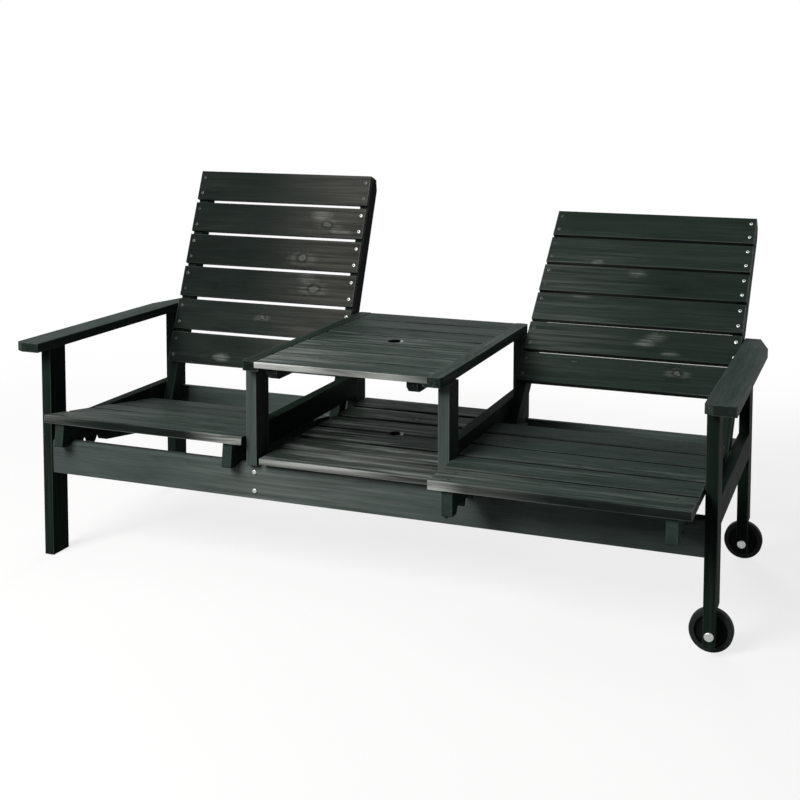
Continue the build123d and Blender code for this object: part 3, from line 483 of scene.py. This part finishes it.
def hole_wall(tree, board, at_run, at_side, size):
    """Share and colour of a hole's wall: the points close to its radius, painted light to one side.
    """
    flat = add(tree, "CombineXYZ", {0: board.run, 1: board.side})
    spot = add(tree, "VectorMath", {0: flat, 1: (at_run, at_side, 0)}, operation="DISTANCE")
    wall = add(tree, "MapRange", {"Value": spot.outputs["Value"], "From Min": size + wall_start,
                                  "From Max": size + wall_end, "To Min": 1.0, "To Max": 0.0})
    lit_side = add(tree, "MapRange", {"Value": board.run, "From Min": at_run + lit_start * size,
                                    "From Max": at_run + lit_end * size})
    lining = add(tree, "Mix", {0: lit_side, 6: linear(wall_shade_dark), 7: linear(wall_lit)},
                 data_type="RGBA")
    return wall, lining.outputs[2]


# %% Stained pine
rough_pale, rough_deep = 0.48, 0.62
relief_height, fibre_relief = 0.0004, 0.6  # m, and the share of fibres in it against rings


def stained_pine(pieces, along, across, turn=0.0, boards=1, width=None, seed=0, stain=full_stain,
                 rings=0.3, streaks=0.35, rubbed_and_lit=0.35, knots=(), clouds=(), clear=0.75, wear_light_and_shade=(),
                 tint=None, marks=0.0, streak_size=streak_width, holes=(), end_grain=0.6,
                 gap_shade_width=1.2, gloss=sheen):
    """Finish one group of boards and give back its pitch (mm).

    For each layer in turn, colour = colour * (1 - share) + the layer's colour * share.
    """
    material, tree, out = new_material("stained pine, " + pieces[0].replace("_", " "))
    board = board_place(tree, pieces, along, across, turn, boards, width, seed)
    grain = grain_patterns(tree, board, streak_size, marks)
    knot, cloud = knot_distance(tree, board, knots, clouds, clear)
    late, bulge = growth_rings(tree, board, grain, knot)
    tone, faded = stain_tone(tree, board, grain, late, bulge, rings)
    pale, deep = stain
    layers = [(tone, linear(deep)), (thin_places(tree, grain, streaks), linear(streak_grey))]
    if tint:
        hue, middle, reach = tint
        warm = add(tree, "Math", {0: fading(tree, board.run, middle, 0.0, reach),
                                  1: grain.streak}, operation="MULTIPLY")
        layers.append((warm, linear(hue)))
    layers.append((knot_halo(tree, grain, knot, cloud), linear(cloud_grey)))
    if marks:  # short dark marks where the stain lies in checks and pitch pockets
        mark = add(tree, "MapRange", {"Value": grain.mark, "From Min": 0.55, "From Max": 0.68,
                                      "To Max": marks})
        layers.append((mark, linear(mark_dark)))
    layers.append((knot_core(tree, knot), linear(knot_dark)))
    end_grain_and_gap_shade, rub_and_highlight = board_edges(tree, board, grain, end_grain, gap_shade_width, rubbed_and_lit)
    layers += [(end_grain_and_gap_shade, linear(end_grain_and_shade_dark)), (rub_and_highlight, linear(rubbed_and_highlight_grey))]
    # places of wear, of painted light and of painted shade, each in its colour
    layers += [(wear_light_and_shade_place(tree, board, grain, *place), linear(hue)) for *place, hue in wear_light_and_shade]
    layers += [hole_wall(tree, board, *hole) for hole in holes]
    colour = linear(pale)
    for share, hue in layers:
        colour = add(tree, "Mix", {0: share, 6: colour, 7: hue}, data_type="RGBA").outputs[2]
    rough = add(tree, "MapRange", {"Value": tone, "To Min": rough_pale, "To Max": rough_deep})
    relief = add(tree, "Math", {0: grain.fibre, 1: fibre_relief, 2: faded},
                 operation="MULTIPLY_ADD")
    bump = add(tree, "Bump", {"Strength": 0.35, "Distance": relief_height, "Height": relief},
               invert=True)
    shader = add(tree, "BsdfPrincipled", {"Base Color": colour, "Roughness": rough,
                                          "Normal": bump, "Specular IOR Level": gloss})
    tree.links.new(shader.outputs[0], out.inputs[0])
    dress(material, *pieces)
    return board.pitch


# %% [markdown]
# The grain always runs the long way of a board: upright in the legs, from end to end in the
# slats and aprons, from front to rear in armrests and rails. Legs and rails took more stain
# than aprons, posts and armrests. Each group of boards starts its random draws at a number of
# its own, so that no two boards look alike.

# %% Dress the frame's boards
# with room between them for the boards of both ends
seeds = {"apron": 1, "leg": 3, "post": 12, "rail": 20, "table": 31, "shelf": 33, "batten": 35,
         "bearer": 36, "back": 40, "seat": 48, "stile": 52, "seat rail": 60}
ends, rows = ("left", "right"), ("front", "rear")
everywhere = 4e3  # mm, more than the sofa measures
# a place of wear, of painted light and of painted shade alike: where across the boards, how far it
# reaches, where along them, half its length (all in mm), its strength and its colour
# the front apron is paler about its middle: painted light
apron_painted_light = ((250.0, 300.0, -150.0, 480.0, 0.09, bleached_and_lit),)
for k, row in enumerate(rows):
    stained_pine([f"{row}_apron"], "X", "Z", seed=seeds["apron"] + k, stain=thin_stain,
                 rings=0.12, streaks=0.06, clear=0.97, wear_light_and_shade=apron_painted_light)
for e, end in enumerate(ends):
    for k, row in enumerate(rows):
        stained_pine([f"{end}_{row}_leg"], "Z", "Y", seed=seeds["leg"] + 4 * e + k,
                     stain=dark_stain, rings=0.12, streaks=0.06, rubbed_and_lit=0.2, clear=0.95,
                     gloss=matt_sheen)
        stained_pine([f"{end}_{row}_post"], "Z", "Y", seed=seeds["post"] + 4 * e + k,
                     stain=thin_stain, rings=0.15, streaks=0.08, clear=0.95, gloss=matt_sheen)
    edge_stain, edge_streaks = (dark_stain, 0.15) if end == "left" else (even_stain, 0.5)
    for k, (part, across, stain, streaks, gloss) in enumerate((
            ("armrest", "X", even_stain, 0.1, sheen),
            ("table_edge", "X", edge_stain, edge_streaks, sheen),
            ("side_rail", "Z", dark_stain, 0.03, matt_sheen),
            ("bay_rail", "Z", dark_stain, 0.0, matt_sheen))):
        stained_pine([f"{end}_{part}"], "Y", across, seed=seeds["rail"] + 5 * e + k, stain=stain,
                     rings=0.2, streaks=streaks, rubbed_and_lit=0.25, clear=0.95, gloss=gloss)
print("pine on the frame:", len([m for m in bpy.data.materials if "pine" in m.name]), "boards")

# %% [markdown]
# The table and the shelf lie open to the weather. Their slats have broad grey streaks and dark
# checks. Their front edges are worn pale, drawn bright enough to stand in for the highlight on
# the rounded edge. Painted light makes the front left of the table and the front of the shelf
# paler, and painted shade makes the far side of the table darker.

# %% Dress the table and the shelf
pole_radius, bearer_width = 20.0, 28.0  # mm
table_gap_shade = 3.2                       # mm, painted shade on the sides of slats: the dark of the gaps between them as seen from above
table = turned_points(["table_slats"])
front, rear = table[:, 1].min(), table[:, 1].max()
slat = turned_points(["table_parasol_slat"])
hole = (*((slat.min(0) + slat.max(0)) / 2)[:2], pole_radius)
# the table: a pale front edge, wear drawn bright as its highlight too; a paler front left, painted
# light; and a darker far side, painted shade
pitch = stained_pine(["table_slats", "table_parasol_slat"], "X", "Y", boards=7,
                     width=np.ptp(slat[:, 1]), seed=seeds["table"], stain=even_stain, streaks=0.6,
                     clear=0.6, marks=0.7, streak_size=top_streak, gap_shade_width=table_gap_shade,
                     wear_light_and_shade=((front, 4.0, -210.0, 560.0, 1.0, bleached_and_lit),
                           (front, 330.0, -250.0, 420.0, 0.14, bleached_and_lit),
                           (rear, 420.0, 0.0, everywhere, 0.55, thick_stain_and_shade)), holes=(hole,))
print("slat pitch on the table", round(pitch, 1), "mm")
# two middle slats span one width and one pitch, all six span one width and five pitches
front = turned_points(["shelf_slats"]).min(0)[1]
all_six, middle_two = (np.ptp(turned_points([n])[:, 1])
                       for n in ("shelf_slats", "shelf_parasol_slats"))
shelf_width = (5 * middle_two - all_six) / 4
# the shelf: a pale front edge, wear drawn bright as its highlight too, and a paler front, painted
# light
pitch = stained_pine(["shelf_slats", "shelf_parasol_slats"], "X", "Y", boards=6,
                     width=shelf_width, seed=seeds["shelf"], streaks=0.8, clear=0.6, marks=0.8,
                     streak_size=top_streak, gap_shade_width=table_gap_shade,
                     wear_light_and_shade=((front, 4.0, -60.0, 420.0, 0.5, bleached_and_lit),
                           (front, 240.0, 60.0, 380.0, 0.14, bleached_and_lit)), holes=(hole,))
print("shelf slats", round(shelf_width, 1), "mm wide, pitch", round(pitch, 1), "mm")
for part, kind in (("table_battens", "batten"), ("shelf_bearers", "bearer")):
    stained_pine([part], "Y", "X", boards=2, width=bearer_width, seed=seeds[kind],
                 stain=dark_stain)

# %% [markdown]
# The backs have the clearest boards, with a few large knots and pale clouds in them, and both
# are paler towards the table. The front edge of a seat, where legs wear it, is pale, drawn bright
# enough to stand in for its highlight too, and a patch at its front is paler, painted light. The
# rear of a seat, in the shade of its back, is painted darker as shade.

# %% Dress the backs and the seats
slat_width, seat_gap_shade = 94.0, 4.0  # mm, and the reach of painted shade at the gaps between seat slats
seat_streak = 0.7 * top_streak      # seats are seen less flat than the table
# place along the slat, height up the back and size, in mm
back_knots = {"left": ((-395, 892, 12), (-460, 784, 14), (-406, 691, 14), (-559, 593, 8)),
              "right": ((704, 452, 10), (421, 467, 3))}
back_clouds = {"left": ((-415, 921, 10), (-365, 880, 9), (-428, 722, 10), (-678, 462, 8),
                        (-330, 870, 7)),
               "right": ((423, 813, 6), (546, 778, 8), (400, 690, 9), (606, 545, 9),
                         (630, 565, 9), (676, 514, 7))}
# the backs are paler towards the table, and the left back is darker at the top of its outer end
back_patches = {"left": ((650, everywhere, -265, 390, 0.045, bleached_and_lit),
                      (920, 420, -890, 560, 0.75, thick_stain_and_shade)),
             "right": ((670, 290, 270, 380, 0.065, bleached_and_lit),)}
back_stains = {"left": back_stain, "right": full_stain}
back_tint = {"left": ("#37322c", -360.0, 280.0), "right": None}  # brown, where, how far (mm)
# place along the seat and half length of the pale front edge, which is wear and painted highlight,
# and place of the patch of painted light, in mm
front_edge_wear_and_highlight = {"left": (-270.0, 170.0), "right": (265.0, 100.0)}
painted_light_patch = {"left": -900.0, "right": 300.0}
for e, end in enumerate(ends):
    slats = [f"{end}_back_{k}" for k in ("top_slat", "middle_slats", "bottom_slat")]
    back_pitch = stained_pine(slats, "X", "Z", back_lean[end], 6, slat_width, seeds["back"] + e,
                              back_stains[end], rings=0.2, streaks=0.06, clear=0.97,
                              knots=back_knots[end], clouds=back_clouds[end],
                              wear_light_and_shade=back_patches[end], tint=back_tint[end])
    seat = turned_points([f"{end}_seat_slats"], seat_tilt[end])
    front, rear = seat[:, 1].min(), seat[:, 1].max()
    # a pale front edge of wear and painted highlight, a patch of painted light, and the rear
    # painted darker as the shade of its back
    seat_pitch = stained_pine([f"{end}_seat_slats"], "X", "Y", seat_tilt[end], 5, slat_width,
                              seeds["seat"] + e, even_stain, streaks=0.4, clear=0.85, marks=0.5,
                              streak_size=seat_streak, gap_shade_width=seat_gap_shade,
                              wear_light_and_shade=((front, 5.0, *front_edge_wear_and_highlight[end], 0.75, bleached_and_lit),
                                    (front, 150.0, painted_light_patch[end], 260.0, 0.12, bleached_and_lit),
                                    (rear, 330.0, 0.0, everywhere, 0.7, thick_stain_and_shade)))
    print(end, "slat pitch", round(back_pitch, 1), "mm in the back,", round(seat_pitch, 1),
          "mm in the seat")
    for k, part in enumerate(("inner", "outer")):
        stained_pine([f"{end}_back_{part}_stile"], "Z", "Y", back_lean[end],
                     seed=seeds["stile"] + 4 * e + k, stain=dark_stain, streaks=0.06, rubbed_and_lit=0.15,
                     clear=0.95, gloss=matt_sheen)
        stained_pine([f"{end}_seat_{part}_rail"], "Y", "Z", seat_tilt[end],
                     seed=seeds["seat rail"] + 4 * e + k, stain=even_stain, streaks=0.06,
                     rubbed_and_lit=0.08, clear=0.97, end_grain=0.0, gloss=matt_sheen)

# %% [markdown]
# ## Metal, beech, rubber and plastic
# Bright heads of zinc-plated screws and bolts stand out against the dark stain. The heads on
# the seats and the shelf went under the stain brush, and so did the bolts beside the right
# seat. Dowels are plain beech, the tyres are matt rubber and the hubs moulded plastic. All of
# them are small, so one function with two close colours and a fine mottle serves them.

# %% Small materials
rough_spread = 0.08      # roughness varies by this much either way
mottle_relief = 0.00005  # m
film_gloss = 0.03        # reflection of stain on metal, and of a dull moulding


def small_material(name, light, dark, mottle_size, rough, metal=0.0, gloss=0.5, stained=None):
    """Two close colours mixed by a noise of the given size (mm), with a slight relief.

    Where stained gives a place (x, y) in m, heads right of x and in front of y are under stain.
    """
    material, tree, out = new_material(name)
    place = add(tree, "TexCoord").outputs["Object"]
    mottle = add(tree, "TexNoise", {"Vector": place, "Scale": mm / mottle_size, "Detail": 4.0})
    colour = add(tree, "Mix", {0: mottle, 6: linear(light), 7: linear(dark)}, data_type="RGBA")
    shine = add(tree, "MapRange", {"Value": mottle, "To Min": rough - rough_spread,
                                   "To Max": rough + rough_spread})
    bump = add(tree, "Bump", {"Strength": 0.3, "Distance": mottle_relief, "Height": mottle})
    if stained:
        xyz = add(tree, "SeparateXYZ", {0: place})
        beside = add(tree, "Math", {0: xyz.outputs["X"], 1: stained[0]}, operation="GREATER_THAN")
        before = add(tree, "Math", {0: xyz.outputs["Y"], 1: stained[1]}, operation="LESS_THAN")
        film = add(tree, "Math", {0: beside, 1: before}, operation="MULTIPLY")
        colour = add(tree, "Mix", {0: film, 6: colour.outputs[2], 7: linear(full_stain[0])},
                     data_type="RGBA")
        metal = add(tree, "MapRange", {"Value": film, "To Min": metal, "To Max": 0.0})
    shader = add(tree, "BsdfPrincipled", {"Base Color": colour.outputs[2], "Roughness": shine,
                                          "Metallic": metal, "Normal": bump,
                                          "Specular IOR Level": gloss})
    tree.links.new(shader.outputs[0], out.inputs[0])
    return material


# Zinc-plated steel is a soft bright grey with a cloudy bloom, the only thing here that glints.
zinc = {"light": "#c9cac4", "dark": "#8f9491", "mottle_size": 3.0, "rough": 0.38, "metal": 1.0}
dress(small_material("zinc-plated steel", **zinc), "axle_bolts", "back_pivot_bolts",
      "left_back_screws", "right_back_screws", "left_seat_hinge_bolts", "right_seat_hinge_bolts")
# On the frame's bolts beside the right seat, stain hides the metal, and only there does the
# gloss count, because bare metal reflects by its colour.
dress(small_material("zinc-plated bolts", **zinc, gloss=film_gloss, stained=(0.1, -0.3)),
      "frame_bolts")
# Steel screws brushed over with stain are dull and dark, and hardly show beside the wood.
dress(small_material("stained steel", "#343d39", "#1d2521", mottle_size=2.0, rough=0.6,
                     gloss=film_gloss), "left_seat_screws", "right_seat_screws", "shelf_screws",
      "batten_screws")
# Beech turned to dowels is warm and pale, and its fine short flecks are drawn as a mottle.
dress(small_material("beech", "#caa27a", "#a97f57", mottle_size=2.0, rough=0.6), "frame_dowels")
# Moulded rubber is a greyish black with a wide weak shine. Its bloom, and the grain of the
# plastic below, are drawn some times coarser than they are, so that they show.
dress(small_material("black rubber", "#262928", "#1a1d1c", mottle_size=1.2, rough=0.62,
                     gloss=0.1), "front_wheel_tyre", "rear_wheel_tyre")
# Moulded plastic is a deeper and more even black, with the fine grain of its mould.
dress(small_material("black moulded plastic", "#151917", "#0c0f0d", mottle_size=0.8, rough=0.5,
                     gloss=film_gloss), "front_wheel_hub", "rear_wheel_hub")
print("bare nodes:", [n for n, o in nodes.items() if not o.data.materials])

# %% [markdown]
# ## Screw heads
# Two cross-recess screws hold each end of a back's slat. The solids end flush with the wood,
# so a low dome with its cross is laid on each. One head is a polar grid, a few rings of points
# from the bottom of the recess out to the rim, and all the heads of a back are made in one go.
# Some heads were wiped clean when the stain went on and others were not, which is kept as a
# number on each head for the material to read.

# %% Finish of the screw heads
# Zinc plate again, bright where it was wiped, dull under the stain, and painted dark in the recess
# as its shade.
bright_zinc, zinc_under_stain, recess_shade = "#d2d3cd", "#2a312d", "#131614"
head_material, tree, out = new_material("zinc-plated screw head")
clean = add(tree, "Attribute", attribute_name="clean").outputs["Fac"]
recess_shade_share = add(tree, "Attribute", attribute_name="recess").outputs["Fac"]
film = add(tree, "Mix", {0: clean, 6: linear(zinc_under_stain), 7: linear(bright_zinc)},
           data_type="RGBA")
film = add(tree, "Mix", {0: recess_shade_share, 6: film.outputs[2], 7: linear(recess_shade)}, data_type="RGBA")
shader = add(tree, "BsdfPrincipled", {"Base Color": film.outputs[2], "Metallic": clean,
                                      "Roughness": 0.35, "Specular IOR Level": 0.1})
tree.links.new(shader.outputs[0], out.inputs[0])
print(head_material.name, "has", len(tree.nodes), "nodes")

# %% Places of the screws
head_radius = 4.6         # mm
face_depth = 0.3          # mm within which a point lies on the face of the wood
wiped_share = (0.0, 0.8)  # how clean the heads are at the left and the right end of the slats
wiped_spread = 0.2        # and by how much they differ
odd_step = 0.618          # steps of this, without whole numbers, spread evenly and don't repeat
dull_share = 0.2          # what is left of the shine of a dull head


def screw_places(end):
    """Middles (x, z) of a back's screws, how clean each is, and the y of its face, all upright.

    Points on the face are rims. They lie in two columns, left and right of their mean, and a
    column is cut where the next point is more than a head away.
    """
    screws = turned_points([f"{end}_back_screws"], back_lean[end])
    face = screws[:, 1].min()
    rims = screws[screws[:, 1] < face + face_depth]
    left = rims[:, 0] < rims[:, 0].mean()
    centres, wiped = [], []
    for column, share in zip((rims[left], rims[~left]), wiped_share):
        middle = (column[:, 0].min() + column[:, 0].max()) / 2
        heights = np.sort(column[:, 2])
        for head in np.split(heights, np.flatnonzero(np.diff(heights) > 2 * head_radius) + 1):
            centres.append((middle, (head[0] + head[-1]) / 2))
            wiped.append(share + wiped_spread * (odd_step * len(centres) % 1))
    return np.array(centres), np.array(wiped), face


for end in ends:
    print(end, "back has", len(screw_places(end)[0]), "screws")

# %% Screw heads
head_rise, recess_floor = 0.9, 0.15  # mm
recess_root, recess_arm = 1.7, 1.5   # mm, between the arms of the cross and along them
recess_lip = 0.15                    # mm
recess_middle, dome_ring = 0.3, 0.8  # shares of the recess and of the head, where a ring lies
head_sides, skirt = 16, 0.6          # points round a head, mm of its edge in the wood


def screw_heads(end, dull):
    """Rings of points at (radius, height) round each screw of one back, the last few of them dull.

    The recess edge lies at root + arm * |cos 2v| ** 4, which is a cross; outside it the height
    is rise * (1 - (radius / head radius) ** 2), a low dome, and the last ring goes into the wood.
    """
    centres, wiped, face = screw_places(end)
    wiped[len(wiped) - dull:] *= dull_share
    v = np.arange(head_sides) * 2 * math.pi / head_sides
    edge = recess_root + recess_arm * np.abs(np.cos(2 * v)) ** 4
    rim = np.full(head_sides, head_radius)
    radius = np.stack([recess_middle * edge, edge, edge + recess_lip, dome_ring * rim, rim, rim])
    height = head_rise * (1 - (radius / head_radius) ** 2)
    height[:2], height[-1] = recess_floor, -skirt
    x = centres[:, 0, None, None] + radius * np.cos(v)
    z = centres[:, 1, None, None] + radius * np.sin(v)
    y = np.broadcast_to(face - height, x.shape)
    c, s = math.cos(back_lean[end]), math.sin(back_lean[end])
    points = np.stack([x, y * c + z * s, z * c - y * s], -1).reshape(-1, 3) / mm
    grid = np.arange(x.size).reshape(x.shape)
    onward = np.roll(grid, -1, axis=2)
    quads = np.stack([grid[:, :-1], grid[:, 1:], onward[:, 1:], onward[:, :-1]], -1)
    caps = grid[:, 0].tolist() + grid[:, -1, ::-1].tolist()
    mesh = bpy.data.meshes.new(f"{end}_screw_heads")
    mesh.from_pydata(points.tolist(), [], quads.reshape(-1, 4).tolist() + caps)
    # points of the recess, which the head's material paints dark as shade
    recess = np.arange(len(radius))[None, :, None] < 2
    for name, values in (("recess", recess), ("clean", wiped[:, None, None])):
        values = np.broadcast_to(values, grid.shape).astype(np.float32).ravel()
        mesh.attributes.new(name, "FLOAT", "POINT").data.foreach_set("value", values)
    mesh.materials.append(head_material)
    heads = bpy.data.objects.new(f"{end}_screw_heads", mesh)
    bpy.context.scene.collection.objects.link(heads)
    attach(heads, f"{end}_back")
    print(heads.name, len(centres), "heads,", len(mesh.polygons), "faces")


screw_heads("left", dull=2)
screw_heads("right", dull=0)

# %% [markdown]
# ## Floor and light
# A pale floor carries the shadow and fades into the white room further off. Both look white to
# the camera and in reflections but throw little light back at the sofa, so sides turned away
# from the lamps stay dark. One large soft lamp hangs above, one stands at the front left with a
# weak low one beside it, and a low one at the rear left, as in a small studio.

# %% Floor
floor_half, floor_drop = 30.0, 0.001     # m
fade_start, fade_end = 1.2, 3.2          # m from the middle, where the floor turns white
near_white = 0.78                        # share of white close to the sofa
floor_seen, floor_lit = "#f4f4f2", "#70706e"


def seen_directly(tree):
    """1 for a ray from the camera, a reflection or glass, and 0 for light that spreads."""
    path = add(tree, "LightPath")
    seen = add(tree, "Math", {0: path.outputs["Is Camera Ray"], 1: path.outputs["Is Glossy Ray"]},
               operation="MAXIMUM")
    return add(tree, "Math", {0: seen, 1: path.outputs["Is Transmission Ray"]},
               operation="MAXIMUM")


floor_mesh = bpy.data.meshes.new("floor")
floor_mesh.from_pydata([(floor_half * x, floor_half * y, 0)
                        for x, y in ((-1, -1), (1, -1), (1, 1), (-1, 1))], [], [(0, 1, 2, 3)])
floor = bpy.data.objects.new("floor", floor_mesh)
bpy.context.scene.collection.objects.link(floor)
floor.location.z = -floor_drop
# Matt white paint: only the shadow shows on it, and it has no edge against the room.
material, tree, out = new_material("pale studio floor")
seen = seen_directly(tree)
shade = add(tree, "Mix", {0: seen, 6: linear(floor_lit), 7: linear(floor_seen)}, data_type="RGBA")
matt = add(tree, "BsdfDiffuse", {"Color": shade.outputs[2]})
glow = add(tree, "Emission", {"Color": (1, 1, 1, 1), "Strength": 1.0})
far = add(tree, "VectorMath", {0: add(tree, "TexCoord").outputs["Object"]}, operation="LENGTH")
white = add(tree, "MapRange", {"Value": far.outputs["Value"], "From Min": fade_start,
                               "From Max": fade_end, "To Min": near_white, "To Max": 1.0},
            interpolation_type="SMOOTHSTEP")
white = add(tree, "Math", {0: seen, 1: white}, operation="MULTIPLY")
mixed = add(tree, "MixShader", {0: white, 1: matt, 2: glow})
tree.links.new(mixed.outputs[0], out.inputs[0])
floor_mesh.materials.append(material)
print("floor of", 2 * floor_half, "m, white from", fade_end, "m on")

# %% Room and lamps
room_light = 0.03  # of white, what the room adds to the lamps
world = bpy.data.worlds.new("pale room")
world.use_nodes = True
bpy.context.scene.world = world
tree = world.node_tree
tree.nodes.clear()
level = add(tree, "MapRange", {"Value": seen_directly(tree), "To Min": room_light, "To Max": 1.0})
room = add(tree, "Background", {"Color": (1, 1, 1, 1), "Strength": level})
tree.links.new(room.outputs[0], add(tree, "OutputWorld").inputs[0])


def soft_lamp(name, place, target, width, power):
    """A square area lamp at a place, turned to a target (m), with its width (m) and power (W)."""
    lamp = bpy.data.lights.new(name, "AREA")
    lamp.size, lamp.energy = width, power
    obj = bpy.data.objects.new(name, lamp)
    bpy.context.scene.collection.objects.link(obj)
    obj.location = place
    obj.rotation_euler = (Vector(target) - Vector(place)).to_track_quat("-Z", "Y").to_euler()
    return obj


sofa_middle = (0.0, 0.0, 0.4)
soft_lamp("overhead lamp", (-0.5, -0.5, 3.2), sofa_middle, width=2.4, power=20)
soft_lamp("front left lamp", (-1.5, -3.7, 3.1), sofa_middle, width=2.0, power=240)
soft_lamp("low front left lamp", (-1.9, -4.2, 0.9), sofa_middle, width=1.6, power=20)
rear_lamp = soft_lamp("rear left lamp", (-0.9, 4.0, 1.0), (0.0, 0.0, 0.5), width=1.8, power=150)
rear_lamp.visible_glossy = False  # it lights the backs from behind without a glare on the table
bpy.context.scene.view_settings.view_transform = "Standard"

# %% [markdown]
# ## Camera
# The photograph was taken from the right of the sofa's middle with a moderate lens, a little
# above the backs, and its frame was cut so that the upright lines stay upright. The camera's
# place and turn come from lining up the corners of the boards.

# %% Camera
camera_place = (1.2402, -3.1080, 1.2547)  # m
yaw, pitch_down, roll = (math.radians(v) for v in (19.90, 4.35, 0.29))
right = Vector((math.cos(yaw), math.sin(yaw), 0))
ahead = Vector((-math.sin(yaw) * math.cos(pitch_down), math.cos(yaw) * math.cos(pitch_down),
                -math.sin(pitch_down)))
up = right.cross(ahead)
turned_right = math.cos(roll) * right + math.sin(roll) * up
turned_up = -math.sin(roll) * right + math.cos(roll) * up
lens = bpy.data.cameras.new("camera")
lens.lens, lens.sensor_width = 55.94, 36.0  # mm
lens.shift_x, lens.shift_y = -0.0628, -0.2717
camera = bpy.data.objects.new("camera", lens)
bpy.context.scene.collection.objects.link(camera)
camera.matrix_world = (Matrix.Translation(camera_place)
                       @ Matrix((turned_right, turned_up, -ahead)).transposed().to_4x4())
bpy.context.scene.camera = camera
print("camera with a", round(lens.lens, 1), "mm lens at", camera_place)
